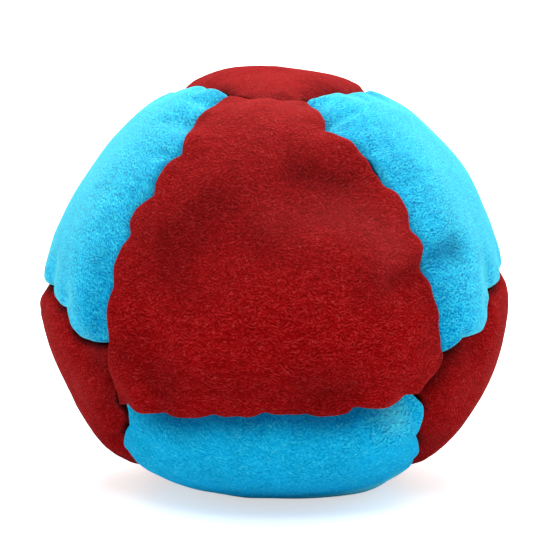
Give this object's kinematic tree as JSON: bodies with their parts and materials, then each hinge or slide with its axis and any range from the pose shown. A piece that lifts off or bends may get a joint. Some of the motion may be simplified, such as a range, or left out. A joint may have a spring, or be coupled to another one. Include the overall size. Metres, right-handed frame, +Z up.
{
  "type": "footbag",
  "caption": "Round sand-filled footbag sewn from suede panels, red six-sided ones and blue three-sided ones, slack enough to sit on a small flat spot.",
  "frame": {"origin": "middle of the flat spot that the bag rests on", "axes": "+Z up, away from the ground; -Y out of the front red panel, which leans back 12 degrees; +X to the right as seen from the front"},
  "size_m": [0.0532, 0.0538, 0.0495],
  "materials": {
    "red_suede": "brushed synthetic suede, matt with a short nap",
    "blue_suede": "brushed synthetic suede, matt with a short nap",
    "thread": "bonded polyester thread, low sheen",
    "sand": "dry washed sand"
  },
  "bodies": {
    "root": {"panel_red_front": "red_suede", "panel_red_top": "red_suede", "panel_red_lower_left": "red_suede", "panel_red_lower_right": "red_suede", "panel_blue_left": "blue_suede", "panel_blue_right": "blue_suede", "panel_blue_bottom": "blue_suede", "panel_blue_back": "blue_suede", "thread_front_left": "thread", "thread_front_right": "thread", "thread_front_bottom": "thread", "thread_front_top": "thread", "thread_front_lower_left": "thread", "thread_front_lower_right": "thread", "thread_top_left": "thread", "thread_top_right": "thread", "thread_lower_left_side": "thread", "thread_lower_right_side": "thread", "thread_lower_left_bottom": "thread", "thread_lower_right_bottom": "thread", "thread_top_lower_left": "thread", "thread_top_lower_right": "thread", "thread_bottom_back": "thread", "thread_back_top": "thread", "thread_back_right": "thread", "thread_closing_back_left": "thread", "sand_fill": "sand"}
  },
  "joints": []
}
